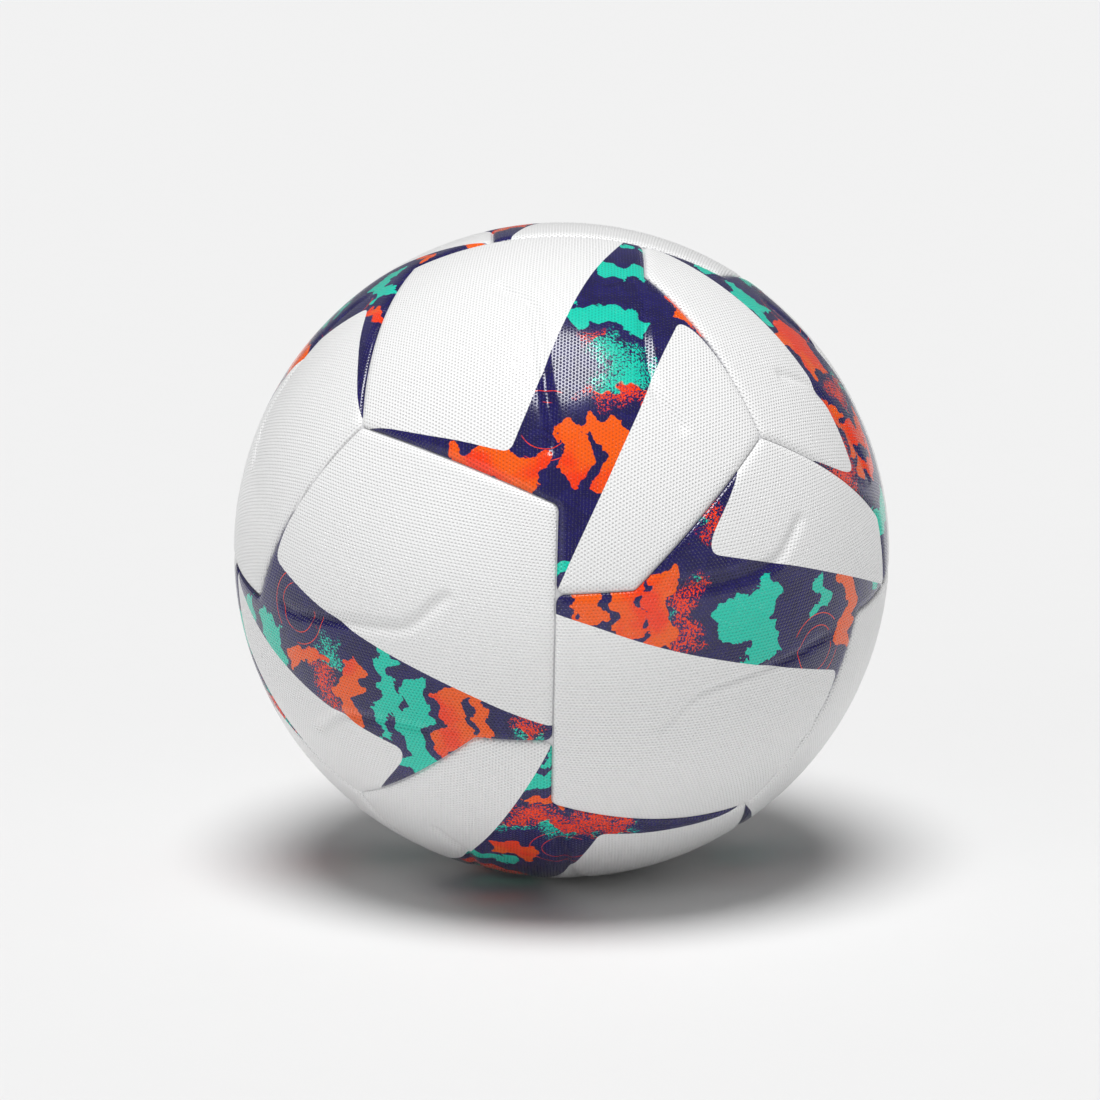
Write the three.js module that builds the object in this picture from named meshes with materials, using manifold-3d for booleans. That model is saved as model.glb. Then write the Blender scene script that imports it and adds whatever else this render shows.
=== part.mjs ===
// Size 5 soccer ball with a thermally bonded cover.
//
// Twelve equal panels with kinked outlines close the sphere. Each panel is a moulded skin whose
// edge turns down round a foam pad. Under them lie a textile carcass and an inflated rubber
// bladder with its valve. The ball's centre is the origin, +Z is up and -Y is the front.

import * as THREE from 'three';
import { mergeVertices } from 'three/addons/utils/BufferGeometryUtils.js';
import Module from 'manifold-3d';

const wasm = await Module();
wasm.setup();

// Driving dimensions in millimetres.
const BALL_RADIUS = 109.8;
const SKIN_THICKNESS = 1.2;
const SKIN_EDGE_THICKNESS = 1.0;
const FOAM_THICKNESS = 4.0;
const CARCASS_THICKNESS = 1.4;
const BLADDER_THICKNESS = 1.0;
const SEAM_WIDTH = 1.2;
const SEAM_DEPTH = 1.8;
const CLEARANCE = 0.3;

const NEEDLE_RADIUS = 0.5; // channel that closes round a pump needle
const LEAD_IN_WIDTH = 0.7;
const LEAD_IN_DEPTH = 1.6;
const CORE_WALL = 1.2;
const CORE_RECESS = 0.6;
const COLLAR_WIDTH = 0.5;
const COLLAR_HEIGHT = 2.4;
const STEM_WALL = 1.5;
const STEM_RECESS = 1.0;
const STEM_TAIL = 1.2; // part of the stem below the flange
const FLANGE_WIDTH = 8.5;
const FLANGE_THICKNESS = 1.2;
const RING_WALL = 0.9;
const RING_RECESS = 0.3;
const VALVE_PATCH_WIDTH = 14;
const VALVE_PATCH_THICKNESS = 0.8;
const BALANCE_PATCH_RADIUS = 14;
const BALANCE_PATCH_THICKNESS = 1.2;

// Driving angles in degrees, as seen from the ball's centre.
const TEE_ANGLE = 13; // pole of a coordinate axis to the T joint of its straight seam
const BEND_ANGLE = 27.5; // same pole to the end of that straight seam
const BRANCH_EAST = 13.3; // bend of the seam that branches off at the T joint
const BRANCH_NORTH = 13.5;
const VALVE_EAST = 28; // valve's place on its panel
const VALVE_NORTH = -16;
const REST_TILT = [10.3, 1.1, -1.2]; // the resting ball's turn about X, Y and Z

const SPHERE_DETAIL = 5;
const ROUND_SEGMENTS = 12;
const WELD_TOLERANCE = 1e-5;

// Cutting solids reach well past both faces of every layer.
const cutInside = BALL_RADIUS * 0.5;
const cutOutside = BALL_RADIUS * 1.6;

// Layer radii, from the outside in.
const skinInside = BALL_RADIUS - SKIN_THICKNESS;
const foamOutside = skinInside - CLEARANCE;
const panelInside = foamOutside - FOAM_THICKNESS;
const carcassOutside = panelInside - CLEARANCE;
const carcassInside = carcassOutside - CARCASS_THICKNESS;
const bladderOutside = carcassInside - CLEARANCE;
const bladderInside = bladderOutside - BLADDER_THICKNESS;
const liningOutside = bladderInside - CLEARANCE;

// Distances of the side walls from the middle of the seam.
const bondSide = SEAM_WIDTH / 2 - CLEARANCE;
const skinSide = SEAM_WIDTH / 2;
const foamEdge = skinSide + SKIN_EDGE_THICKNESS;
const foamSide = foamEdge + CLEARANCE;

const X = new THREE.Vector3(1, 0, 0);
const Y = new THREE.Vector3(0, 1, 0);
const Z = new THREE.Vector3(0, 0, 1);

// ---------------------------------------------------------------- solids

function solid(geometry) {
  const bare = geometry.clone();
  bare.deleteAttribute('normal');
  bare.deleteAttribute('uv');
  const welded = mergeVertices(bare, WELD_TOLERANCE);
  return new wasm.Manifold(new wasm.Mesh({
    numProp: 3,
    vertProperties: new Float32Array(welded.attributes.position.array),
    triVerts: new Uint32Array(welded.index.array),
  }));
}

function geometryOf(body) {
  const { vertProperties, triVerts } = body.getMesh();
  const geometry = new THREE.BufferGeometry();
  geometry.setAttribute('position', new THREE.BufferAttribute(vertProperties, 3));
  geometry.setIndex(new THREE.BufferAttribute(triVerts, 1));
  return geometry;
}

const sphere = (radius) => solid(new THREE.IcosahedronGeometry(radius, SPHERE_DETAIL));
const shell = (outside, inside) => sphere(outside).subtract(sphere(inside));

// ---------------------------------------------------------------- panel outline

// Direction that lies `east` degrees to the right of the front pole and `north` degrees up.
function fromFront(east, north) {
  const across = THREE.MathUtils.degToRad(east);
  const up = THREE.MathUtils.degToRad(north);
  return new THREE.Vector3(
    Math.sin(across) * Math.cos(up),
    -Math.cos(across) * Math.cos(up),
    Math.sin(up),
  );
}

// Corners of the front right panel, anticlockwise from outside. Its seams are arcs of great circles.
const upperCorner = new THREE.Vector3(1, -1, 1).normalize();
const lowerCorner = new THREE.Vector3(1, -1, -1).normalize();
const branchBend = fromFront(BRANCH_EAST, BRANCH_NORTH);
const panelOutline = [
  fromFront(0, TEE_ANGLE),
  fromFront(0, -TEE_ANGLE),
  fromFront(0, -BEND_ANGLE),
  lowerCorner,
  fromFront(90 - BEND_ANGLE, 0),
  fromFront(90 - TEE_ANGLE, 0),
  branchBend.clone().applyAxisAngle(upperCorner, (Math.PI * 2) / 3),
  upperCorner,
  branchBend,
];
const capCentre = fromFront(45, 10); // every corner can be seen from this direction

// Wedge from near the ball's centre out through the panel outline. Its side walls are planes,
// `inset` millimetres inside the planes of the seams.
function panelWedge(inset) {
  const count = panelOutline.length;
  const walls = panelOutline.map((corner, i) => (
    corner.clone().cross(panelOutline[(i + 1) % count]).normalize()
  ));
  const ring = (radius) => panelOutline.map((corner, i) => {
    const before = walls[(i + count - 1) % count];
    const after = walls[i];
    const shift = inset / (1 + before.dot(after));
    return corner.clone().multiplyScalar(radius)
      .addScaledVector(before, shift)
      .addScaledVector(after, shift);
  });
  const inner = ring(cutInside);
  const outer = ring(cutOutside);
  const innerCentre = capCentre.clone().multiplyScalar(cutInside);
  const outerCentre = capCentre.clone().multiplyScalar(cutOutside);
  const triangles = [];
  for (let i = 0; i < count; i += 1) {
    const j = (i + 1) % count;
    triangles.push(outerCentre, outer[i], outer[j]);
    triangles.push(innerCentre, inner[j], inner[i]);
    triangles.push(inner[i], inner[j], outer[j]);
    triangles.push(inner[i], outer[j], outer[i]);
  }
  return solid(new THREE.BufferGeometry().setFromPoints(triangles));
}

// ---------------------------------------------------------------- panels

// The sphere's twelve turns into itself that carry one panel onto each of the others.
const thirdTurns = [0, 1, 2].map((step) => (
  new THREE.Quaternion().setFromAxisAngle(upperCorner, (step * Math.PI * 2) / 3)
));
const halfTurns = [
  new THREE.Quaternion(),
  new THREE.Quaternion().setFromAxisAngle(X, Math.PI),
  new THREE.Quaternion().setFromAxisAngle(Y, Math.PI),
  new THREE.Quaternion().setFromAxisAngle(Z, Math.PI),
];
const panelTurns = halfTurns.flatMap((half) => (
  thirdTurns.map((third) => half.clone().multiply(third))
));

function panelName(turn) {
  const centre = new THREE.Vector3(1, -1, 0).applyQuaternion(turn).round();
  const words = [
    { 1: 'top', '-1': 'bottom' }[centre.z],
    { 1: 'back', '-1': 'front' }[centre.y],
    { 1: 'right', '-1': 'left' }[centre.x],
  ];
  return `panel_${words.filter(Boolean).join('_')}`;
}

const skinSolid = shell(BALL_RADIUS, panelInside)
  .intersect(panelWedge(skinSide))
  .subtract(sphere(skinInside).intersect(panelWedge(foamEdge)));
const foamSolid = shell(foamOutside, panelInside).intersect(panelWedge(foamSide));

function seamBond() {
  const wedge = panelWedge(bondSide);
  return panelTurns.reduce(
    (bond, turn) => bond.subtract(turned(wedge, turn)),
    shell(BALL_RADIUS - SEAM_DEPTH, panelInside),
  );
}

function turned(body, quaternion) {
  return body.transform(new THREE.Matrix4().makeRotationFromQuaternion(quaternion).toArray());
}

// ---------------------------------------------------------------- valve

const valvePanel = 'panel_back_left';
const valvePanelTurn = panelTurns.find((turn) => panelName(turn) === valvePanel);
const valveAxis = fromFront(VALVE_EAST, VALVE_NORTH).applyQuaternion(valvePanelTurn);

// Revolves a profile of [radius, distance from the ball's centre] points about an axis.
function revolve(profile, axis) {
  const points = profile.map(([radius, height]) => new THREE.Vector2(radius, height));
  const geometry = new THREE.LatheGeometry(points, ROUND_SEGMENTS);
  geometry.applyQuaternion(new THREE.Quaternion().setFromUnitVectors(Y, axis));
  return solid(geometry);
}

function rod(radius, from, to, axis) {
  return revolve([[0, from], [radius, from], [radius, to], [0, to]], axis);
}

const coreRadius = NEEDLE_RADIUS + CORE_WALL;
const collarRadius = coreRadius + COLLAR_WIDTH;
const boreRadius = coreRadius + CLEARANCE;
const stemRadius = boreRadius + STEM_WALL;
const stemHoleRadius = stemRadius + CLEARANCE;
const ringRadius = stemHoleRadius + RING_WALL;
const panelHoleRadius = ringRadius + CLEARANCE;
const valvePatchRadius = stemHoleRadius + VALVE_PATCH_WIDTH;

const stemTop = BALL_RADIUS - STEM_RECESS;
const stemBottom = liningOutside - FLANGE_THICKNESS - STEM_TAIL;
const coreTop = stemTop - CORE_RECESS;
const coreBottom = stemBottom - CLEARANCE;
const collarMiddle = (coreTop + coreBottom) / 2;
const patchTop = panelInside + VALVE_PATCH_THICKNESS;

// A disc cut from a shell, so that it lies against the layer that it is bonded to.
function curvedDisc(outside, thickness, radius, axis) {
  const column = rod(radius, cutInside, cutOutside, axis);
  return shell(outside, outside - thickness).intersect(column);
}

function valveBody() {
  const groove = rod(
    collarRadius + CLEARANCE,
    collarMiddle - COLLAR_HEIGHT / 2 - CLEARANCE,
    collarMiddle + COLLAR_HEIGHT / 2 + CLEARANCE,
    valveAxis,
  );
  return rod(stemRadius, stemBottom, stemTop, valveAxis)
    .add(curvedDisc(liningOutside, FLANGE_THICKNESS, stemRadius + FLANGE_WIDTH, valveAxis))
    .subtract(rod(boreRadius, cutInside, cutOutside, valveAxis))
    .subtract(groove);
}

// A rubber plug with a needle channel. Its collar sits in the stem's groove.
function valveCore() {
  const collarTop = collarMiddle + COLLAR_HEIGHT / 2;
  const collarBottom = collarMiddle - COLLAR_HEIGHT / 2;
  return revolve([
    [NEEDLE_RADIUS, coreBottom],
    [coreRadius, coreBottom],
    [coreRadius, collarBottom],
    [collarRadius, collarBottom],
    [collarRadius, collarTop],
    [coreRadius, collarTop],
    [coreRadius, coreTop],
    [NEEDLE_RADIUS + LEAD_IN_WIDTH, coreTop],
    [NEEDLE_RADIUS, coreTop - LEAD_IN_DEPTH],
    [NEEDLE_RADIUS, coreBottom],
  ], valveAxis);
}

function valveRing() {
  const bottom = patchTop + CLEARANCE;
  const top = BALL_RADIUS - RING_RECESS;
  return rod(ringRadius, bottom, top, valveAxis)
    .subtract(stemHole);
}

const stemHole = rod(stemHoleRadius, cutInside, cutOutside, valveAxis);
const panelHole = rod(panelHoleRadius, cutInside, cutOutside, valveAxis);
const patchRecess = curvedDisc(
  patchTop + CLEARANCE,
  VALVE_PATCH_THICKNESS + CLEARANCE * 2,
  valvePatchRadius + CLEARANCE,
  valveAxis,
);
const valveSkin = turned(skinSolid, valvePanelTurn).subtract(panelHole);
const valveFoam = turned(foamSolid, valvePanelTurn).subtract(panelHole).subtract(patchRecess);
const carcass = shell(carcassOutside, carcassInside).subtract(stemHole);
const bladder = shell(bladderOutside, bladderInside).subtract(stemHole);
const valvePatch = curvedDisc(patchTop, VALVE_PATCH_THICKNESS, valvePatchRadius, valveAxis)
  .subtract(stemHole);
const balancePatch = curvedDisc(
  liningOutside,
  BALANCE_PATCH_THICKNESS,
  BALANCE_PATCH_RADIUS,
  valveAxis.clone().negate(),
);

// ---------------------------------------------------------------- assembly

const finishes = {
  skin: { color: 0xe9e9ec, roughness: 0.45, metalness: 0 },
  foam: { color: 0xd8d4c6, roughness: 0.9, metalness: 0 },
  bond: { color: 0xc9c9cc, roughness: 0.6, metalness: 0 },
  textile: { color: 0xcfcabb, roughness: 0.95, metalness: 0 },
  rubber: { color: 0x242424, roughness: 0.7, metalness: 0 },
  core: { color: 0x3a3a3c, roughness: 0.5, metalness: 0 },
};

const ball = new THREE.Group();
ball.rotation.set(...REST_TILT.map(THREE.MathUtils.degToRad));

function place(name, geometry, finish, turn = new THREE.Quaternion()) {
  const mesh = new THREE.Mesh(geometry, new THREE.MeshStandardMaterial(finishes[finish]));
  mesh.name = name;
  mesh.quaternion.copy(turn);
  ball.add(mesh);
}

const plainSkin = geometryOf(skinSolid);
const plainFoam = geometryOf(foamSolid);
for (const turn of panelTurns.filter((each) => each !== valvePanelTurn)) {
  place(`${panelName(turn)}_skin`, plainSkin, 'skin', turn);
  place(`${panelName(turn)}_foam`, plainFoam, 'foam', turn);
}
place(`${valvePanel}_skin`, geometryOf(valveSkin), 'skin');
place(`${valvePanel}_foam`, geometryOf(valveFoam), 'foam');
place('seam_bond', geometryOf(seamBond()), 'bond');
place('carcass', geometryOf(carcass), 'textile');
place('bladder', geometryOf(bladder), 'rubber');
place('valve_body', geometryOf(valveBody()), 'rubber');
place('valve_core', geometryOf(valveCore()), 'core');
place('valve_ring', geometryOf(valveRing()), 'rubber');
place('valve_patch', geometryOf(valvePatch), 'textile');
place('balance_patch', geometryOf(balancePatch), 'rubber');

export default ball;
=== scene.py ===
"""Soccer ball with a thermally bonded cover: the looks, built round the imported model.

Lengths are in metres. A panel place is an angle across (u) and an angle up (v) from the middle
of the panel, as seen from outside. The tables give places in degrees and the functions take
radians. All twelve panels share one shape.
"""

import math

import bmesh
import bpy
import numpy as np
from mathutils import Matrix, Vector
from mathutils.geometry import delaunay_2d_cdt


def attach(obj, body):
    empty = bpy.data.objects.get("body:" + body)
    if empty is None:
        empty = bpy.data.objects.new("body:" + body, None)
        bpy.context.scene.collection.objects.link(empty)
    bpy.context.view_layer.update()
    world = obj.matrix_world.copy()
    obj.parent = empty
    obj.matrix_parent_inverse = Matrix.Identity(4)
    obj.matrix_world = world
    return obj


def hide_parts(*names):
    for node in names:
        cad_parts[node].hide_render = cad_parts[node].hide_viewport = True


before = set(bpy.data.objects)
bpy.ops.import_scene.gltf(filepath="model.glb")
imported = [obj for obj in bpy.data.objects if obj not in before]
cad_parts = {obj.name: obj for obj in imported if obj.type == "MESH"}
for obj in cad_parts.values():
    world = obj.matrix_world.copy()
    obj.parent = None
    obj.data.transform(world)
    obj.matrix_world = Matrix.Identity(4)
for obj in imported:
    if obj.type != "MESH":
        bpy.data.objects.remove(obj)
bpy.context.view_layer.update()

MM = 0.001
MAP_UNIT = 100 * MM  # length of one unit of the panel map

# ------------------------------------------------------------------ sizes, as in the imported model


def farthest_point(node):
    return max(vertex.co.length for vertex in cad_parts[node].data.vertices)


RADIUS = farthest_point("panel_front_right_skin")
SKIN_THICKNESS = 1.2 * MM
SKIN_EDGE_THICKNESS = 1.0 * MM
PANEL_DEPTH = 5.5 * MM
VALVE_HOLE_RADIUS = 5.0 * MM

TEE_ANGLE = 13.0
BEND_ANGLE = 27.5
BRANCH_EAST = 13.3
BRANCH_NORTH = 13.5
VALVE_EAST = 28.0
VALVE_NORTH = -16.0
REST_TILT = (10.3, 1.1, -1.2)

# Sizes that only the fine surface has.
EDGE_ROUND_WIDTH = 3.4 * MM
EDGE_ROUND_DROP = 1.25 * MM
CORNER_RADIUS = 2.8 * MM
SEAM_GAP = 0.4 * MM
BOND_GAP = 0.05 * MM
BOND_DEPTH = 1.35 * MM
BOND_WELD = 0.005 * MM
GRID_STEP = 0.85 * MM
INSIDE_STEP = 3.0 * MM
OUTLINE_STEP = 0.8 * MM
HOLE_ROUND = 0.7 * MM
HOLE_DROP = 0.42 * MM
HOLE_SIDES = 48
NEARLY_STRAIGHT = math.radians(175)
SHARP_ANGLE = math.radians(50)
SAME_PLACE = 1e-9  # in radians
POINTS_AT_ONCE = 2000
FAR_OUTSIDE = -1000.0

# ------------------------------------------------------------------ directions and panel places


def unit(vectors):
    return vectors / np.linalg.norm(vectors, axis=-1, keepdims=True)


def from_front(east, north):
    """Direction that lies `east` degrees to the right of the front (-Y) and `north` degrees up."""
    across, up = math.radians(east), math.radians(north)
    return np.array([
        math.sin(across) * math.cos(up),
        -math.cos(across) * math.cos(up),
        math.sin(up),
    ])


def turn_about(axis, angle):
    return np.array(Matrix.Rotation(angle, 3, Vector(axis)))


PANEL_OUT = unit(np.array([1.0, -1.0, 0.0]))
PANEL_RIGHT = unit(np.array([1.0, 1.0, 0.0]))
PANEL_UP = np.array([0.0, 0.0, 1.0])


def direction_of(places):
    """Unit directions of panel places given in radians."""
    reach = np.linalg.norm(places, axis=-1, keepdims=True)
    sideways = places[..., :1] * PANEL_RIGHT + places[..., 1:] * PANEL_UP
    return np.cos(reach) * PANEL_OUT + np.sinc(reach / np.pi) * sideways


def place_of(directions):
    """Panel places, in radians, of unit directions."""
    reach = np.arccos(np.clip(directions @ PANEL_OUT, -1, 1))
    scale = 1 / np.sinc(reach / np.pi)
    return np.stack([directions @ PANEL_RIGHT, directions @ PANEL_UP], -1) * scale[..., None]


UPPER_CORNER = unit(np.array([1.0, -1.0, 1.0]))
LOWER_CORNER = unit(np.array([1.0, -1.0, -1.0]))
THIRD = math.radians(120)
BRANCH_BEND = from_front(BRANCH_EAST, BRANCH_NORTH)
PANEL_CORNERS = np.array([
    from_front(0, TEE_ANGLE),
    from_front(0, -TEE_ANGLE),
    from_front(0, -BEND_ANGLE),
    LOWER_CORNER,
    from_front(90 - BEND_ANGLE, 0),
    from_front(90 - TEE_ANGLE, 0),
    turn_about(UPPER_CORNER, THIRD) @ BRANCH_BEND,
    UPPER_CORNER,
    BRANCH_BEND,
])
SEAM_BENDS = (2, 4, 6, 8)

REST_TURN = (
    turn_about((1, 0, 0), math.radians(REST_TILT[0]))
    @ turn_about((0, 1, 0), math.radians(REST_TILT[1]))
    @ turn_about((0, 0, 1), math.radians(REST_TILT[2]))
)
PANEL_TURNS = [
    half @ turn_about(UPPER_CORNER, THIRD * step)
    for half in (
        np.eye(3),
        turn_about((1, 0, 0), math.pi),
        turn_about((0, 1, 0), math.pi),
        turn_about((0, 0, 1), math.pi),
    )
    for step in range(3)
]


def panel_name(turn):
    x, y, z = np.round(turn @ np.array([1, -1, 0])).astype(int)
    words = (
        {1: "top", -1: "bottom"}.get(z),
        {1: "back", -1: "front"}.get(y),
        {1: "right", -1: "left"}.get(x),
    )
    return "panel_" + "_".join(word for word in words if word)


# ------------------------------------------------------------------ outline


def inset_corners(inset):
    walls = unit(np.cross(PANEL_CORNERS, np.roll(PANEL_CORNERS, -1, axis=0)))
    before = np.roll(walls, 1, axis=0)
    shift = inset / RADIUS / (1 + np.sum(before * walls, axis=1, keepdims=True))
    return unit(PANEL_CORNERS + shift * (before + walls))


def along_arc(start, end, step):
    """Points from start up to, but not including, end."""
    angle = math.acos(np.clip(start @ end, -1, 1))
    count = max(1, math.ceil(angle * RADIUS / step))
    shares = np.arange(count)[:, None] / count
    return (np.sin((1 - shares) * angle) * start + np.sin(shares * angle) * end) / math.sin(angle)


def rounded_corner(corner, back, ahead, radius):
    """Points round a fillet between the arcs that lead back and ahead from a corner."""
    to_back = unit(back - (back @ corner) * corner)
    to_ahead = unit(ahead - (ahead @ corner) * corner)
    opening = math.acos(np.clip(to_back @ to_ahead, -1, 1))
    if opening > NEARLY_STRAIGHT:
        return corner[None, :]
    reach = radius / RADIUS
    middle = corner + unit(to_back + to_ahead) * reach / math.sin(opening / 2)
    start = corner + to_back * reach / math.tan(opening / 2) - middle
    end = corner + to_ahead * reach / math.tan(opening / 2) - middle
    sweep = math.pi - opening
    count = max(4, math.ceil(sweep * radius / (OUTLINE_STEP / 2)))
    shares = np.linspace(0, 1, count + 1)[:, None]
    spokes = (np.sin((1 - shares) * sweep) * start + np.sin(shares * sweep) * end) / math.sin(sweep)
    return unit(middle + spokes)


def joined_by_arcs(rounds):
    pieces = []
    for i, points in enumerate(rounds):
        following = rounds[(i + 1) % len(rounds)][0]
        pieces += [points[:-1], along_arc(points[-1], following, OUTLINE_STEP)]
    return np.concatenate(pieces)


def rounded_outline(inset, convex_radius):
    """The panel's outline as unit directions, `inset` inside the seam's middle line."""
    corners = inset_corners(inset)
    rounds = []
    for i, corner in enumerate(corners):
        back, ahead = corners[i - 1], corners[(i + 1) % len(corners)]
        convex = np.cross(corner - back, ahead - corner) @ corner > 0
        radius = convex_radius if convex else convex_radius + 2 * inset
        rounds.append(rounded_corner(corner, back, ahead, radius))
    return joined_by_arcs(rounds)


def seam_line():
    """The seam's middle line round one panel: round at the bends, sharp where three seams meet."""
    corners = PANEL_CORNERS
    radius = CORNER_RADIUS + SEAM_GAP / 2
    rounds = [
        rounded_corner(corner, corners[i - 1], corners[(i + 1) % len(corners)], radius)
        if i in SEAM_BENDS else corner[None, :]
        for i, corner in enumerate(corners)
    ]
    return joined_by_arcs(rounds)


def inward(outline, distance):
    """The outline moved sideways into the panel, point by point."""
    tangents = np.roll(outline, -1, axis=0) - np.roll(outline, 1, axis=0)
    sideways = unit(np.cross(outline, tangents))
    angle = distance / RADIUS
    return unit(outline * math.cos(angle) + sideways * math.sin(angle))


def distance_to(points, line, closed=True):
    """Distance on the ball from each direction to a line of directions, and how far along it."""
    starts = line if closed else line[:-1]
    spans = (np.roll(line, -1, axis=0) if closed else line[1:])[: len(starts)] - starts
    lengths = np.sum(spans * spans, axis=1)
    nearest, along = [], []
    for part in np.array_split(points, max(1, len(points) // POINTS_AT_ONCE)):
        offsets = part[:, None, :] - starts[None, :, :]
        shares = np.clip(np.sum(offsets * spans, axis=2) / lengths, 0, 1)
        gaps = np.linalg.norm(offsets - shares[..., None] * spans, axis=2)
        best = gaps.argmin(axis=1)
        rows = np.arange(len(part))
        nearest.append(gaps[rows, best] * RADIUS)
        along.append((best + shares[rows, best]) / len(starts))
    return np.concatenate(nearest), np.concatenate(along)


def is_inside(places, polygon):
    """True for the places that lie inside a closed polygon."""
    x, y = places[:, 0][:, None], places[:, 1][:, None]
    ax, ay = polygon[:, 0], polygon[:, 1]
    bx, by = np.roll(ax, -1), np.roll(ay, -1)
    crosses = (ay > y) != (by > y)
    slope = np.where(by == ay, 1.0, by - ay)
    left = x < (bx - ax) * (y - ay) / slope + ax
    return np.sum(crosses & left, axis=1) % 2 == 1


# ------------------------------------------------------------------ printed areas and grooves


def smooth_curve(points, closed, rounds=3):
    """A soft curve that follows a few control points (corner cutting)."""
    line = np.radians(np.array(points, float))
    for _ in range(rounds):
        ahead = np.roll(line, -1, axis=0) if closed else line[1:]
        here = line if closed else line[:-1]
        cut = np.stack([here * 0.75 + ahead * 0.25, here * 0.25 + ahead * 0.75], 1).reshape(-1, 2)
        line = cut if closed else np.concatenate([line[:1], cut, line[-1:]])
    return line


BAND_LOWER_EDGE = [
    (-50, 13.2), (-38.5, 8.6), (-31.5, 5.4), (-23.5, 2.4), (-16, 0), (-8, -2.5), (0, -4.9),
]
BAND_UPPER_EDGE = [
    (38, -2.6), (26, 2.5), (20, 5.1), (13.5, 7.8), (5, 11.1), (0, 13), (-5, 14.6), (-10, 16.2),
]
LOWER_FIELDS = {
    "wide": [
        (8.5, -7.7), (11.4, -8.8), (11, -12), (9.6, -17), (7.2, -23), (2, -33), (0, -46), (-56, -46),
    ],
    "narrow": [
        (5.5, -6.9), (8.6, -8), (8.2, -10.4), (6.2, -16.5), (4.2, -23.5), (0.6, -33), (-1, -46), (-56, -46),
    ],
}
UPPER_FIELDS = {
    "wide": [
        (-14.2, 17.5), (-17, 18.4), (-16.6, 21), (-14, 24), (-10, 28.2), (-4, 35), (0, 44), (40, 44),
    ],
    "narrow": [
        (-16.4, 18.6), (-19.3, 19.6), (-18.6, 22), (-15.5, 25.2), (-11, 28.8), (-4, 35), (0, 44), (40, 44),
    ],
}


def white_fields(kind):
    return [
        smooth_curve(BAND_LOWER_EDGE + LOWER_FIELDS[kind], closed=True),
        smooth_curve(BAND_UPPER_EDGE + UPPER_FIELDS[kind], closed=True),
    ]


GROOVES = [
    [
        (-27, -12.5), (-24.5, -10), (-22, -7), (-20, -5.3), (-17, -4.5),
        (-8.5, -3.4), (0, -2.2), (6, -1), (9.5, -1.8),
    ],
    [(3.5, 21), (0.5, 18.7), (-2.5, 16), (-5, 14.7), (-11, 13.7), (-18, 13.3), (-25, 13.8)],
]
GROOVE_DEPTH = 1.0 * MM
GROOVE_WIDTH = 1.9 * MM
GROOVE_FADE = 0.16  # share of a groove's length in which each end rises

# Patches of colour on the band, in degrees: left, right, bottom and top. Three kinds of patch
# come in six sets, and each panel uses one set of each kind.
ORANGE_PATCHES = {
    "a": [(-42, -36.5, 8, 15), (-35, -30.5, 4, 19), (-29.5, -25, 4, 18), (11, 15.5, -5, 9)],
    "b": [(-34.5, -31.5, 6, 15), (-30.5, -25, 5, 18.5), (-10, -5.5, 2, 15), (-1.5, 7, 5, 8)],
    "c": [(2, 15.5, 5.5, 11.5), (4, 12.5, -1, 4.5), (8, 14, -19.5, -2.5), (-27, -19, 18, 23)],
    "d": [(-1, 4.5, 4, 11), (-36, -31, 7, 15), (-15, -10, 6, 16), (17, 19, -1, 5)],
    "e": [(-24, -21, 5, 17), (-19, -15, 4, 17), (-5, 6, 3, 12), (-13, -6, 13, 16.5)],
    "f": [(-13, -6, -4, 5), (9, 12, -17, -11), (19, 21.5, 2, 9), (28, 32, -1, 8)],
}
TEAL_PATCHES = {
    "a": [(-17, -6, 4, 12), (-12.5, -5, -2, 4), (3, 7, 4.5, 10.5), (24, 27, 0, 4)],
    "b": [(-22.5, -18, 2.5, 23), (-17, -14, 1, 18), (9, 16, 1.5, 13), (20, 29, 1, 10)],
    "c": [(-43, -41, 6, 20), (-33, -29, 6, 15), (-20.5, -16, 0, 13.5), (27, 29, -1, 3)],
    "d": [(-5.5, -1.5, 5, 15), (22, 25.5, -1, 5), (26.5, 32, -1, 2), (-27, -22, 2, 14)],
    "e": [(8, 15.5, 2, 8), (18, 22, -1, 4), (-35, -30, 6, 17), (10, 13, -14, -5)],
    "f": [(-1, 1, 2, 13), (2, 4.5, 2, 12), (-30, -24, 6, 17), (10, 14, -8, 4)],
}
SPECKLE_PATCHES = {
    "a": [(-25, -21.5, 2, 13), (-18, -14, 21.5, 27)],
    "b": [(-43, -39, 6, 20), (-5, -1, 0, 14)],
    "c": [(-13, -1, 5, 14)],
    "d": [(9.5, 15.5, -14.5, 7.5)],
    "e": [(-24, -12, 19, 27), (-12, -8, 2, 10)],
    "f": [(-20, -14, 3, 14), (-39, -34, 8, 16)],
}
PATCH_SHEAR = 0.16
# Waves that bend the sides of the patches: height in degrees, then radians a degree.
SIDE_WAVE = (1.1, 0.62, 0.21)  # the last is along u
SIDE_RIPPLE = (0.5, 1.7)
END_WAVE = (1.3, 0.41)
END_WAVE_START = 1.0

PANEL_PRINTS = {
    "panel_front_right": ("wide", "a"),
    "panel_front_left": ("wide", "b"),
    "panel_back_right": ("wide", "b"),
    "panel_back_left": ("wide", "a"),
    "panel_top_front": ("narrow", "c"),
    "panel_bottom_front": ("narrow", "d"),
    "panel_top_back": ("narrow", "d"),
    "panel_bottom_back": ("narrow", "c"),
    "panel_top_right": ("narrow", "e"),
    "panel_top_left": ("narrow", "f"),
    "panel_bottom_right": ("narrow", "f"),
    "panel_bottom_left": ("narrow", "e"),
}


def field_depth(places, polygons):
    """Signed distance to the nearest edge of the polygons, above nought inside, in millimetres."""
    deepest = np.full(len(places), FAR_OUTSIDE)
    for polygon in polygons:
        edges = direction_of(polygon)
        gap, _ = distance_to(direction_of(places), edges)
        signed = np.where(is_inside(places, polygon), gap, -gap) / MM
        deepest = np.maximum(deepest, signed)
    return deepest


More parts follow.
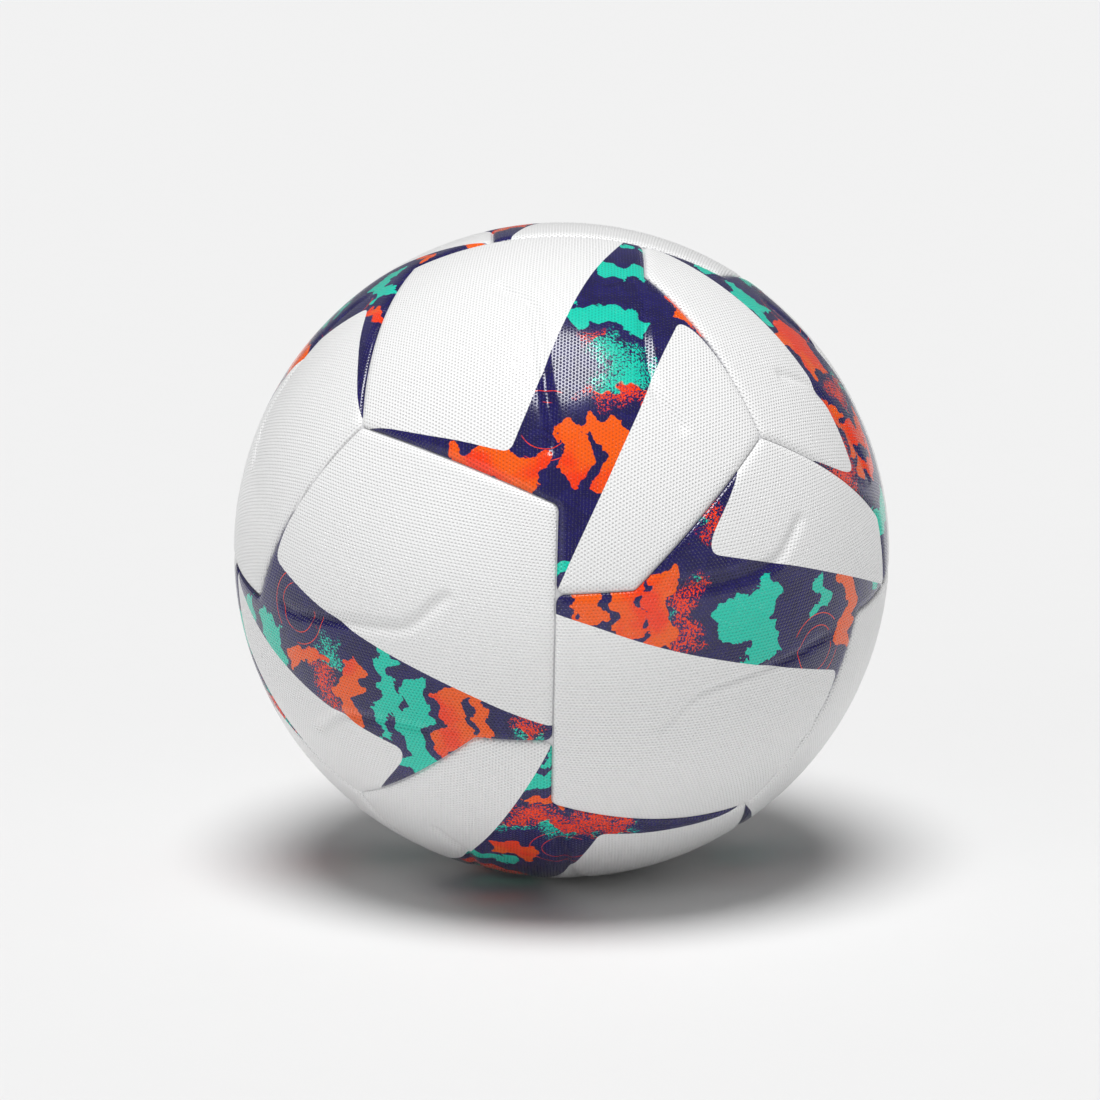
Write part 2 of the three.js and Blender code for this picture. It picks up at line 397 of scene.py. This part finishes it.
def patch_depth(places, patches):
    """How far each place lies inside the nearest patch, in millimetres."""
    u, v = np.degrees(places).T
    wave = SIDE_WAVE[0] * np.sin(SIDE_WAVE[1] * v + SIDE_WAVE[2] * u)
    u = u + wave + SIDE_RIPPLE[0] * np.sin(SIDE_RIPPLE[1] * v)
    v = v + END_WAVE[0] * np.sin(END_WAVE[1] * u + END_WAVE_START)
    deepest = np.full(len(places), FAR_OUTSIDE)
    for left, right, bottom, top in patches:
        across = u - PATCH_SHEAR * (v - (bottom + top) / 2)
        inside = np.minimum(
            np.minimum(across - left, right - across), np.minimum(v - bottom, top - v)
        )
        deepest = np.maximum(deepest, inside)
    return np.radians(deepest) * RADIUS / MM


# ------------------------------------------------------------------ panel mesh


def triangles_in(boundaries, inner_places):
    """Triangulates the area between closed boundaries and returns every place and triangle."""
    places = np.concatenate([*boundaries, inner_places])
    edges, start = [], 0
    for boundary in boundaries:
        count = len(boundary)
        edges += [(start + i, start + (i + 1) % count) for i in range(count)]
        start += count
    found, _, faces, sources, _, _ = delaunay_2d_cdt(
        [Vector(place) for place in places], edges, [], 0, SAME_PLACE
    )
    found = np.array([tuple(place) for place in found])
    faces = np.array([face for face in faces if len(face) == 3])
    if len(found) != len(places):
        raise ValueError("an outline crosses itself")
    order = np.array([source[0] for source in sources])
    faces = order[faces]
    middles = places[faces].mean(axis=1)
    kept = is_inside(middles, boundaries[0])
    for hole in boundaries[1:]:
        kept &= ~is_inside(middles, hole)
    faces = faces[kept]
    a, b, c = (places[faces[:, i]] for i in range(3))
    turned = (b - a)[:, 0] * (c - a)[:, 1] - (b - a)[:, 1] * (c - a)[:, 0] < 0
    faces[turned] = faces[turned][:, ::-1]
    return places, faces


def hex_grid(polygon, step):
    """Staggered places that fill a polygon's box."""
    low, high = polygon.min(axis=0), polygon.max(axis=0)
    across = step / RADIUS
    up = across * math.sqrt(3) / 2
    rows = np.arange(low[1], high[1], up)
    columns = np.arange(low[0], high[0], across)
    grid = np.array([(x + (i % 2) * across / 2, y) for i, y in enumerate(rows) for x in columns])
    return grid[is_inside(grid, polygon)]


# A ring's points that come closer to the outline than this share of their distance are dropped.
EDGE_RING_KEPT = 0.97
EDGE_RING_SPACING = 0.4 * OUTLINE_STEP


def edge_rings(outline, distances):
    """Places on lines that run along the outline at the given distances."""
    rings = []
    for distance in distances:
        line = inward(outline, distance)
        gap, _ = distance_to(line, outline)
        line = line[gap > distance * EDGE_RING_KEPT]
        spaced, last = [], None
        for point in line:
            if last is None or np.linalg.norm(point - last) * RADIUS > EDGE_RING_SPACING:
                spaced.append(point)
                last = point
        rings.append(place_of(np.array(spaced)))
    return np.concatenate(rings)


def rounded_drop(distance, width, drop):
    """How far a rounded edge falls away at a distance from its wall."""
    share = np.clip(1 - distance / width, 0, 1)
    return drop * (1 - np.sqrt(1 - share ** 2))


def hole_circle(axis, radius, height):
    """Directions round a hole of that radius where it meets the sphere of that height."""
    angle = math.asin(radius / height)
    side = unit(np.cross(axis, (0.0, 0.0, 1.0)))
    other = np.cross(axis, side)
    turns = np.linspace(0, 2 * math.pi, HOLE_SIDES, endpoint=False)[:, None]
    ring = np.cos(turns) * side + np.sin(turns) * other
    return axis * math.cos(angle) + ring * math.sin(angle)


def strip(first, second):
    """Quads between two closed rings of vertex numbers."""
    ahead_first, ahead_second = np.roll(first, -1), np.roll(second, -1)
    return [tuple(face) for face in np.stack([first, ahead_first, ahead_second, second], 1)]


WALL_LINE = rounded_outline(SEAM_GAP / 2, CORNER_RADIUS)
INSIDE_LINE = inward(WALL_LINE, SKIN_EDGE_THICKNESS)
EDGE_STEPS = np.array([0.02, 0.07, 0.15, 0.26, 0.4, 0.56, 0.74, 0.92]) * EDGE_ROUND_WIDTH
VALVE_PANEL = "panel_back_left"
VALVE_DIRECTION = from_front(VALVE_EAST, VALVE_NORTH)
# Radii round the valve hole inside which the two grids are left out.
OUTER_GRID_STOP = VALVE_HOLE_RADIUS + 1.4 * HOLE_ROUND
INNER_GRID_STOP = 1.3 * VALVE_HOLE_RADIUS
HOLE_RINGS = (0.1, 0.3, 0.6, 1)  # shares of the rounded width


def outer_surface(hole):
    """Places, heights and triangles of the skin's outside."""
    wall = place_of(WALL_LINE)
    grid = hex_grid(wall, GRID_STEP)
    gap, _ = distance_to(direction_of(grid), WALL_LINE)
    inner = [grid[gap > EDGE_ROUND_WIDTH], edge_rings(WALL_LINE, EDGE_STEPS)]
    boundaries = [wall]
    if hole is not None:
        from_hole = np.linalg.norm(direction_of(inner[0]) - VALVE_DIRECTION, axis=1) * RADIUS
        inner[0] = inner[0][from_hole > OUTER_GRID_STOP]
        rings = [
            hole_circle(VALVE_DIRECTION, VALVE_HOLE_RADIUS + HOLE_ROUND * share, RADIUS)
            for share in HOLE_RINGS
        ]
        inner += [place_of(ring) for ring in rings]
        boundaries.append(place_of(hole))
    places, faces = triangles_in(boundaries, np.concatenate(inner))
    directions = direction_of(places)
    from_wall, _ = distance_to(directions, WALL_LINE)
    heights = RADIUS - rounded_drop(from_wall, EDGE_ROUND_WIDTH, EDGE_ROUND_DROP)
    for groove in GROOVES:
        line = direction_of(smooth_curve(groove, closed=False))
        across, along = distance_to(directions, line, closed=False)
        strength = np.clip(np.minimum(along, 1 - along) / GROOVE_FADE, 0, 1)
        strength = strength * strength * (3 - 2 * strength)
        heights -= GROOVE_DEPTH * strength * np.exp(-((across / GROOVE_WIDTH) ** 2))
    if hole is not None:
        from_middle = np.linalg.norm(directions - VALVE_DIRECTION, axis=1) * RADIUS
        from_hole = np.maximum(from_middle - VALVE_HOLE_RADIUS, 0)
        heights -= rounded_drop(from_hole, HOLE_ROUND, HOLE_DROP)
    return places, heights, faces


def inner_surface(hole):
    """Places and triangles of the skin's inside, facing out."""
    wall = place_of(INSIDE_LINE)
    grid = hex_grid(wall, INSIDE_STEP)
    gap, _ = distance_to(direction_of(grid), INSIDE_LINE)
    grid = grid[gap > INSIDE_STEP / 2]
    boundaries = [wall]
    if hole is not None:
        from_hole = np.linalg.norm(direction_of(grid) - VALVE_DIRECTION, axis=1) * RADIUS
        grid = grid[from_hole > INNER_GRID_STOP]
        boundaries.append(place_of(hole))
    return triangles_in(boundaries, grid)


def skin_shape(with_hole):
    """Vertices, faces, panel places and part counts of one closed skin in the first panel's place."""
    inside_height = RADIUS - SKIN_THICKNESS
    outer_hole = inner_hole = None
    if with_hole:
        outer_hole = hole_circle(VALVE_DIRECTION, VALVE_HOLE_RADIUS, RADIUS)
        inner_hole = hole_circle(VALVE_DIRECTION, VALVE_HOLE_RADIUS, inside_height)
    top_places, heights, top_faces = outer_surface(outer_hole)
    low_places, low_faces = inner_surface(inner_hole)
    bottom = RADIUS - PANEL_DEPTH
    wall_count = len(WALL_LINE)
    middle = (heights[:wall_count].mean() + bottom) / 2
    parts = [
        direction_of(top_places) * heights[:, None],
        WALL_LINE * middle,
        WALL_LINE * bottom,
        INSIDE_LINE * bottom,
        direction_of(low_places) * inside_height,
    ]
    starts = np.cumsum([0] + [len(part) for part in parts])
    around = np.arange(wall_count)
    top_rim, wall_middle, wall_bottom, inside_bottom, inside_top = (
        start + around for start in starts[:5]
    )
    faces = [tuple(face) for face in top_faces]
    faces += [tuple(face) for face in (low_faces[:, ::-1] + starts[4])]
    for upper, lower in ((top_rim, wall_middle), (wall_middle, wall_bottom)):
        faces += strip(lower, upper)
    faces += strip(inside_bottom, wall_bottom)
    faces += strip(inside_top, inside_bottom)
    if with_hole:
        hole_around = np.arange(len(outer_hole))
        outer_rim = wall_count + hole_around
        inner_rim = starts[4] + wall_count + hole_around
        faces += strip(outer_rim, inner_rim)
    places = np.concatenate([
        top_places, place_of(WALL_LINE), place_of(WALL_LINE), place_of(INSIDE_LINE), low_places,
    ])
    return np.concatenate(parts), faces, places, (len(top_faces), starts[1], starts[4])


def make_mesh(name, vertices, faces):
    mesh = bpy.data.meshes.new(name)
    mesh.from_pydata(vertices.tolist(), [], [tuple(int(i) for i in face) for face in faces])
    mesh.validate()
    mesh.shade_smooth()
    mesh.set_sharp_from_angle(angle=SHARP_ANGLE)
    piece = bpy.data.objects.new(name, mesh)
    bpy.context.scene.collection.objects.link(piece)
    return piece


def add_values(mesh, name, values):
    attribute = mesh.attributes.new(name, "FLOAT", "POINT")
    attribute.data.foreach_set("value", np.asarray(values, np.float32))


def add_panel_map(mesh, places):
    """A map with the panel places as lengths, in map units."""
    layer = mesh.uv_layers.new(name="panel")
    corners = np.empty(len(mesh.loops), np.int32)
    mesh.loops.foreach_get("vertex_index", corners)
    layer.uv.foreach_set("vector", (places[corners] * RADIUS / MAP_UNIT).astype(np.float32).ravel())


# Rectangles of the bake map: left, right, bottom and top. The walls are rows inside theirs.
OUTSIDE_AREA = (0.01, 0.99, 0.01, 0.8)
WALL_AREA = (0.5, 0.99, 0.82, 0.99)
INSIDE_AREA = (0.01, 0.48, 0.82, 0.99)
FIRST_WALL_ROW = 0.83
WALL_ROW_STEP = 0.05


def fitted(places, left, right, bottom, top):
    """Places stretched to fill a rectangle of a map."""
    low, high = places.min(axis=0), places.max(axis=0)
    shares = (places - low) / (high - low)
    return shares * (right - left, top - bottom) + (left, bottom)


def add_bake_map(mesh, places, outside_faces, wall_start, inside_start):
    """A map without overlaps: most of it for the outside, a strip for walls and inside."""
    outside = fitted(places, *OUTSIDE_AREA)
    hidden = fitted(places, *WALL_AREA)
    hidden[inside_start:] = fitted(places[inside_start:], *INSIDE_AREA)
    rows = (range(wall_start), *np.arange(wall_start, inside_start).reshape(3, -1))
    around = np.linspace(*WALL_AREA[:2], len(WALL_LINE))
    for i, row in enumerate(rows):
        level = np.full(len(around), FIRST_WALL_ROW + WALL_ROW_STEP * i)
        hidden[np.array(row)[: len(WALL_LINE)]] = np.stack([around, level], 1)
    layer = mesh.uv_layers.new(name="OFBake")
    corners = np.empty(len(mesh.loops), np.int32)
    mesh.loops.foreach_get("vertex_index", corners)
    places_of_corners = hidden[corners]
    outside_corners = outside_faces * 3
    places_of_corners[:outside_corners] = outside[corners[:outside_corners]]
    layer.uv.foreach_set("vector", places_of_corners.astype(np.float32).ravel())


def make_skins(material):
    shapes = {False: skin_shape(False), True: skin_shape(True)}
    fields = {}
    for turn in PANEL_TURNS:
        name = panel_name(turn)
        with_hole = name == VALVE_PANEL
        vertices, faces, places, counts = shapes[with_hole]
        kind, colours = PANEL_PRINTS[name]
        if (kind, with_hole) not in fields:
            fields[kind, with_hole] = field_depth(places, white_fields(kind))
        piece = make_mesh(f"{name}_cover", vertices @ (REST_TURN @ turn).T, faces)
        add_panel_map(piece.data, places)
        add_bake_map(piece.data, places, *counts)
        add_values(piece.data, "white", fields[kind, with_hole])
        add_values(piece.data, "orange", patch_depth(places, ORANGE_PATCHES[colours]))
        add_values(piece.data, "teal", patch_depth(places, TEAL_PATCHES[colours]))
        add_values(piece.data, "speckle", patch_depth(places, SPECKLE_PATCHES[colours]))
        piece.data.materials.append(material)
        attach(piece, "root")
        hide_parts(f"{name}_skin")


def make_bond(material):
    """The adhesive at the bottom of every seam, as one net."""
    middle = seam_line()
    side = inward(WALL_LINE, -BOND_GAP)
    places, faces = triangles_in([place_of(middle), place_of(side)], np.empty((0, 2)))
    directions = np.concatenate([middle, side])
    top, bottom = RADIUS - BOND_DEPTH, RADIUS - PANEL_DEPTH
    count = len(places)
    around = len(middle) + np.arange(len(side))
    sheet = [tuple(face) for face in faces] + [tuple(face) for face in faces[:, ::-1] + count]
    sheet += strip(around, around + count)
    half = np.concatenate([directions * top, directions * bottom])
    vertices, everything = [], []
    for i, turn in enumerate(PANEL_TURNS):
        vertices.append(half @ (REST_TURN @ turn).T)
        everything += [tuple(index + i * len(half) for index in face) for face in sheet]
    piece = make_mesh("seam_adhesive", np.concatenate(vertices), everything)
    net = bmesh.new()
    net.from_mesh(piece.data)
    bmesh.ops.remove_doubles(net, verts=net.verts, dist=BOND_WELD)
    net.to_mesh(piece.data)
    net.free()
    piece.data.materials.append(material)
    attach(piece, "root")
    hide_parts("seam_bond")


# ------------------------------------------------------------------ materials


# A Mix node's sockets for colours: factor, first and second, and its result.
COLOUR_MIX_SOCKETS = (0, 6, 7)
COLOUR_MIX_RESULT = 2


class Nodes:
    """Short ways to write a material's node tree."""

    def __init__(self, name):
        self.material = bpy.data.materials.new(name)
        self.material.use_nodes = True
        self.tree = self.material.node_tree
        self.shader = self.tree.nodes["Principled BSDF"]

    def add(self, kind, inputs=None, **settings):
        node = self.tree.nodes.new(kind)
        for key, value in settings.items():
            setattr(node, key, value)
        for key, value in (inputs or {}).items():
            self.put(node.inputs[key], value)
        return node

    def put(self, socket, value):
        if isinstance(value, bpy.types.NodeSocket):
            self.tree.links.new(value, socket)
        else:
            socket.default_value = value

    def maths(self, operation, first, second=0.0, third=0.0):
        node = self.add("ShaderNodeMath", operation=operation)
        for socket, value in zip(node.inputs, (first, second, third)):
            self.put(socket, value)
        return node.outputs[0]

    def value(self, name):
        return self.add("ShaderNodeAttribute", attribute_name=name).outputs["Fac"]

    def noise(self, where, scale, detail=2.0, rough=0.5, **inputs):
        settings = {"Vector": where, "Scale": scale, "Detail": detail, "Roughness": rough, **inputs}
        return self.add("ShaderNodeTexNoise", settings).outputs["Fac"]

    def ramp(self, value, low, high, soft=True):
        node = self.add(
            "ShaderNodeMapRange",
            {"Value": value, "From Min": low, "From Max": high},
            interpolation_type="SMOOTHSTEP" if soft else "LINEAR",
        )
        return node.outputs["Result"]

    def blend(self, share, first, second, kind="MIX"):
        node = self.add("ShaderNodeMix", data_type="RGBA", blend_type=kind)
        for index, value in zip(COLOUR_MIX_SOCKETS, (share, first, second)):
            self.put(node.inputs[index], value)
        return node.outputs[COLOUR_MIX_RESULT]

    def bump(self, height, distance, strength=1.0, normal=None):
        inputs = {"Height": height, "Distance": distance, "Strength": strength}
        if normal is not None:
            inputs["Normal"] = normal
        return self.add("ShaderNodeBump", inputs).outputs["Normal"]

    def finish(self, **inputs):
        for key, value in inputs.items():
            self.put(self.shader.inputs[key.replace("_", " ")], value)
        return self.material


def colour(red, green, blue):
    """Screen values from 0 to 255 as a linear colour."""
    return tuple(
        (c / 255 / 12.92 if c / 255 <= 0.04045 else ((c / 255 + 0.055) / 1.055) ** 2.4)
        for c in (red, green, blue)
    ) + (1.0,)


WHITE = colour(246, 246, 246)
NAVY = colour(25, 18, 92)
NAVY_DARK = colour(21, 14, 80)
ORANGE = colour(255, 96, 0)
RED_ORANGE = colour(255, 58, 4)
TEAL = colour(4, 212, 184)
GRAIN_PITCH = 1.3 * MM
GRAIN_ROW = 1.06 * MM
GRAIN_DEPTH = 0.3 * MM
# Two rings round one place of the panel map. Their lines fade between the two half widths.
RING_MIDDLE = (7.7 * MM, -4.8 * MM)
RING_RADII = (8.0 * MM, 12.0 * MM)
RING_LINE = (0.18 * MM, 0.09 * MM)
# A pit's edge and its deepest part, as shares of the grain's pitch.
PIT_EDGE = 0.38
PIT_BOTTOM = 0.06
# In millimetres: the span over which noise moves the edge of a patch, and half the width over
# which a patch and a white field turn into the band's colour.
TORN_REACH = 10.0
TORN_BLUR = 0.1
FIELD_BLUR = 0.06


def grain_pits(n, u, v):
    """One at the middle of each pressed pit, falling to nought between them."""
    across = n.maths("DIVIDE", u, GRAIN_PITCH / MAP_UNIT)
    up = n.maths("DIVIDE", v, GRAIN_ROW / MAP_UNIT)
    shift = n.maths("FRACT", n.maths("MULTIPLY", n.maths("FLOOR", up), 0.5))
    cell_x = n.maths("SUBTRACT", n.maths("FRACT", n.maths("ADD", across, shift)), 0.5)
    cell_y = n.maths("SUBTRACT", n.maths("FRACT", up), 0.5)
    spread = n.maths("ADD", n.maths("MULTIPLY", cell_x, cell_x), n.maths("MULTIPLY", cell_y, cell_y))
    return n.ramp(n.maths("SQRT", spread), PIT_EDGE, PIT_BOTTOM)


def thin_rings(n, u, v, breaks):
    """Fine broken circle lines on the band."""
    x = n.maths("SUBTRACT", u, RING_MIDDLE[0] / MAP_UNIT)
    y = n.maths("SUBTRACT", v, RING_MIDDLE[1] / MAP_UNIT)
    reach = n.maths("SQRT", n.maths("MULTIPLY_ADD", x, x, n.maths("MULTIPLY", y, y)))
    lines = 0.0
    for radius in RING_RADII:
        gap = n.maths("ABSOLUTE", n.maths("SUBTRACT", reach, radius / MAP_UNIT))
        line = n.ramp(gap, RING_LINE[0] / MAP_UNIT, RING_LINE[1] / MAP_UNIT)
        lines = n.maths("MAXIMUM", line, lines)
    return n.maths("MULTIPLY", lines, n.ramp(breaks, 0.47, 0.5))


def skin_material():
    """Printed polyurethane: white fields, a dark band with ragged patches, and a pressed grain whose pits
    carry painted shade.
    """
    n = Nodes("printed_polyurethane")
    spot = n.add("ShaderNodeTexCoord").outputs["Object"]
    panel_map = n.add("ShaderNodeUVMap", uv_map="panel").outputs["UV"]
    split = n.add("ShaderNodeSeparateXYZ", {"Vector": panel_map})
    u, v = split.outputs["X"], split.outputs["Y"]
    white = n.ramp(n.value("white"), -FIELD_BLUR, FIELD_BLUR)
    coarse = n.noise(spot, 175, 3, 0.55)
    other = n.noise(spot, 150, 3, 0.55, Distortion=0.8)
    fine = n.noise(spot, 1500, 2, 0.6)
    cloud = n.noise(spot, 45, 3)

    def torn(name, rough):
        wander = n.maths("MULTIPLY", n.maths("SUBTRACT", rough, 0.5), TORN_REACH)
        return n.maths("ADD", n.value(name), wander)

    orange_edge = torn("orange", coarse)
    teal_edge = torn("teal", other)
    speckle_edge = torn("speckle", coarse)
    specks = n.ramp(n.maths("MULTIPLY_ADD", speckle_edge, 0.02, fine), 0.52, 0.56)
    specks = n.maths("MULTIPLY", specks, n.ramp(speckle_edge, -3.0, -1.0))
    tone = n.blend(n.ramp(other, 0.45, 0.55), NAVY, NAVY_DARK)
    warm = n.blend(n.ramp(cloud, 0.46, 0.6), ORANGE, RED_ORANGE)
    cool_or_warm = n.blend(n.ramp(cloud, 0.5, 0.51), RED_ORANGE, TEAL)
    band = n.blend(thin_rings(n, u, v, cloud), tone, RED_ORANGE)
    band = n.blend(specks, band, cool_or_warm)
    band = n.blend(n.ramp(teal_edge, -TORN_BLUR, TORN_BLUR), band, TEAL)
    band = n.blend(n.ramp(orange_edge, -TORN_BLUR, TORN_BLUR), band, warm)
    pits = grain_pits(n, u, v)
    # Painted shade: the base colour is darkened in each pressed pit, by 0.14 on the band and 0.08 on the
    # white fields.
    painted_pit_shade = n.maths("MULTIPLY", pits, n.maths("MULTIPLY_ADD", white, -0.06, 0.14))
    pit_shade_multiplier = n.maths("SUBTRACT", 1.0, painted_pit_shade)
    print_with_painted_shade = n.blend(1.0, n.blend(white, band, WHITE), pit_shade_multiplier, "MULTIPLY")
    roughness = n.maths("MULTIPLY_ADD", white, 0.22, n.maths("MULTIPLY_ADD", cloud, 0.08, 0.12))
    relief = n.maths("MULTIPLY_ADD", fine, 0.02, n.maths("SUBTRACT", 1.0, pits))
    pressed = n.bump(relief, GRAIN_DEPTH)
    return n.finish(
        Base_Color=print_with_painted_shade,
        Roughness=roughness,
        Normal=pressed,
        Specular_IOR_Level=0.45,
        Coat_Weight=0.3,
        Coat_Roughness=0.09,
        Coat_Normal=pressed,
    )


def bond_material():
    n = Nodes("hot_melt_adhesive")
    spot = n.add("ShaderNodeTexCoord").outputs["Object"]
    lumps = n.noise(spot, 600, 3)
    tint = n.blend(lumps, colour(196, 196, 198), colour(226, 226, 228))
    rough = n.ramp(lumps, -0.4, 1.6, False)
    return n.finish(Base_Color=tint, Roughness=rough, Normal=n.bump(lumps, 0.15 * MM))


def foam_material():
    n = Nodes("closed_cell_foam")
    spot = n.add("ShaderNodeTexCoord").outputs["Object"]
    cells = n.add("ShaderNodeTexVoronoi", {"Vector": spot, "Scale": 1500.0}).outputs["Distance"]
    tint = n.blend(n.ramp(cells, 0.1, 0.8), colour(232, 228, 214), colour(206, 200, 182))
    rough = n.maths("MULTIPLY_ADD", cells, 0.15, 0.8)
    return n.finish(Base_Color=tint, Roughness=rough, Normal=n.bump(cells, 0.2 * MM))


THREAD_PITCH = 0.9 * MM


def textile_material():
    n = Nodes("woven_polyester")
    spot = n.add("ShaderNodeTexCoord").outputs["Object"]
    split = n.add("ShaderNodeSeparateXYZ", {"Vector": spot})
    threads = 2 * math.pi / THREAD_PITCH
    waves = [n.maths("SINE", n.maths("MULTIPLY", split.outputs[axis], threads)) for axis in "XYZ"]
    weave = n.maths("MULTIPLY", n.maths("MULTIPLY", waves[0], waves[1]), waves[2])
    weave = n.maths("MULTIPLY_ADD", weave, 0.5, 0.5)
    slubs = n.noise(spot, 260, 4)
    tint = n.blend(n.maths("MULTIPLY", weave, slubs), colour(222, 217, 202), colour(168, 160, 142))
    rough = n.maths("MULTIPLY_ADD", slubs, 0.15, 0.8)
    return n.finish(Base_Color=tint, Roughness=rough, Normal=n.bump(weave, 0.2 * MM), Sheen_Weight=0.3)


def rubber_material(name, dark, light, rough):
    n = Nodes(name)
    spot = n.add("ShaderNodeTexCoord").outputs["Object"]
    bloom = n.noise(spot, 90, 5, 0.65)
    grit = n.noise(spot, 2200, 2)
    tint = n.blend(n.ramp(bloom, 0.35, 0.8), dark, light)
    roughness = n.maths("MULTIPLY_ADD", bloom, 0.25, rough)
    return n.finish(Base_Color=tint, Roughness=roughness, Normal=n.bump(grit, 0.05 * MM))


make_skins(skin_material())
make_bond(bond_material())

black_rubber = rubber_material("butyl_rubber", colour(22, 22, 24), colour(52, 51, 52), 0.45)
grey_rubber = rubber_material("silicone_rubber", colour(70, 71, 76), colour(104, 105, 110), 0.3)
carried_over = {
    "carcass": textile_material(),
    "bladder": black_rubber,
    "valve_body": black_rubber,
    "valve_core": grey_rubber,
    "valve_ring": black_rubber,
    "balance_patch": black_rubber,
}
carried_over["valve_patch"] = carried_over["carcass"]
foam = foam_material()
for node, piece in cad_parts.items():
    material = foam if node.endswith("_foam") else carried_over.get(node)
    if material:
        piece.data.materials.clear()
        piece.data.materials.append(material)

# ------------------------------------------------------------------ floor, light and camera

FLOOR_REACH = 14.0
FLOOR_TINTS = ((0.755, 0.755, 0.755, 1), (0.76, 0.76, 0.76, 1))
WORLD_LIGHT = 0.22
# Lights that reach everything evenly: strength, then in degrees the spread, the lean from
# straight overhead to the back (to the front where it is negative) and the lean to the left.
SUNS = {
    "overhead_light": (3.0, 30.0, -14.0, 2.0),
    "front_left_light": (0.36, 44.0, -80.0, 40.0),
    "front_right_light": (0.06, 44.0, -78.0, -34.0),
}
CAMERA_ELEVATION = 10.0
CAMERA_DISTANCE = 11.7 * RADIUS
LENS = 125.0
SENSOR_WIDTH = 36.0
AIM = Vector((-3.85 * MM, 0, 0))


def floor_material():
    n = Nodes("pale_floor")
    dust = n.noise(n.add("ShaderNodeTexCoord").outputs["Object"], 40, 2)
    tint = n.blend(dust, FLOOR_TINTS[0], FLOOR_TINTS[1])
    return n.finish(Base_Color=tint, Roughness=0.9, Specular_IOR_Level=0.0)


def make_floor(material):
    corners = [
        (x * FLOOR_REACH, y * FLOOR_REACH, -RADIUS) for x, y in ((-1, -1), (1, -1), (1, 1), (-1, 1))
    ]
    mesh = bpy.data.meshes.new("floor")
    mesh.from_pydata(corners, [], [(0, 1, 2, 3)])
    mesh.materials.append(material)
    floor = bpy.data.objects.new("floor", mesh)
    bpy.context.scene.collection.objects.link(floor)


def make_world():
    world = bpy.data.worlds.new("studio")
    world.use_nodes = True
    background = world.node_tree.nodes["Background"]
    background.inputs["Color"].default_value = (WORLD_LIGHT,) * 3 + (1,)
    bpy.context.scene.world = world


def make_sun(name, strength, spread, back, left):
    light = bpy.data.lights.new(name, "SUN")
    light.energy = strength
    light.angle = math.radians(spread)
    across, up = math.radians(left), math.radians(back)
    toward = Vector((
        -math.sin(across),
        math.sin(up) * math.cos(across),
        math.cos(up) * math.cos(across),
    ))
    sun = bpy.data.objects.new(name, light)
    sun.rotation_euler = toward.to_track_quat("Z", "Y").to_euler()
    bpy.context.scene.collection.objects.link(sun)


def make_camera():
    camera = bpy.data.cameras.new("camera")
    camera.lens = LENS
    camera.sensor_width = SENSOR_WIDTH
    viewer = bpy.data.objects.new("camera", camera)
    elevation = math.radians(CAMERA_ELEVATION)
    viewer.location = Vector((0, -math.cos(elevation), math.sin(elevation))) * CAMERA_DISTANCE
    viewer.rotation_euler = (AIM - viewer.location).to_track_quat("-Z", "Y").to_euler()
    bpy.context.scene.collection.objects.link(viewer)
    bpy.context.scene.camera = viewer


make_floor(floor_material())
make_world()
for name, (strength, spread, back, left) in SUNS.items():
    make_sun(name, strength, spread, back, left)
make_camera()
bpy.context.scene.view_settings.view_transform = "Standard"
